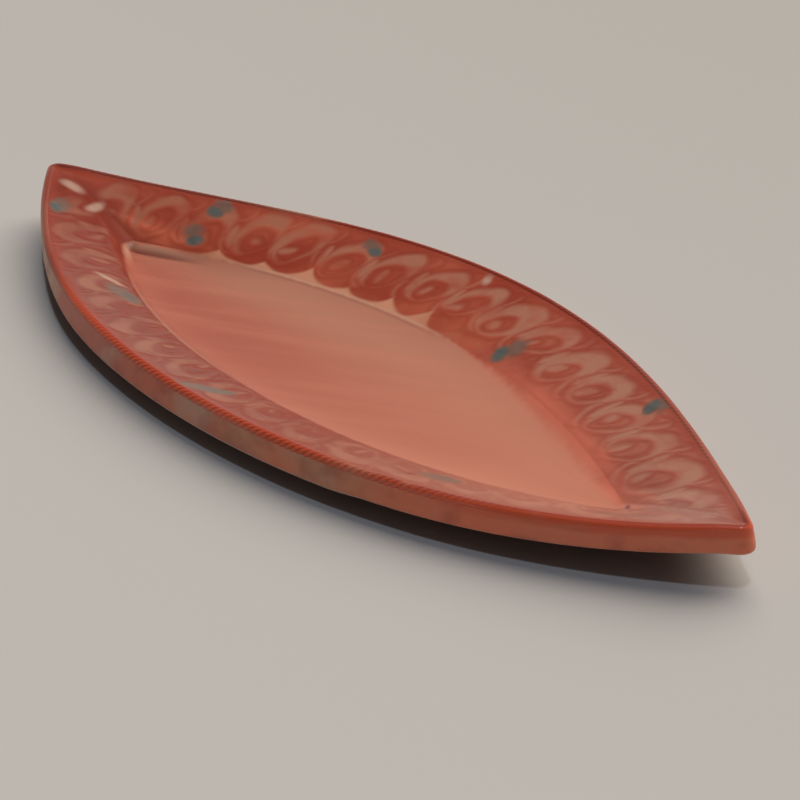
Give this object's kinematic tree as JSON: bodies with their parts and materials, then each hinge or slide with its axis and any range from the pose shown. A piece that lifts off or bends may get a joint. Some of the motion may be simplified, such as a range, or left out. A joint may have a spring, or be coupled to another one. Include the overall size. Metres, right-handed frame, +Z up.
{
  "type": "serving platter",
  "caption": "Pointed-oval slab-built serving platter in glazed clay, with a sunk flat well, a broad sloping rim, upturned points and a twisted rope edge.",
  "frame": {"origin": "on the table under the middle of the platter's outline", "axes": "+X along the length towards the right point, +Y towards the far side, +Z up out of the well"},
  "size_m": [0.4066, 0.1558, 0.0233],
  "materials": {
    "well_glaze": "satin salmon glaze over brushed slip",
    "rim_glaze": "gloss brick-red slip with paler wiped strokes",
    "rope_glaze": "gloss deep red glaze"
  },
  "bodies": {
    "root": {"floor_slab": "well_glaze", "near_rim_slab": "rim_glaze", "far_rim_slab": "rim_glaze", "near_rope_edge": "rope_glaze", "far_rope_edge": "rope_glaze"}
  },
  "joints": []
}
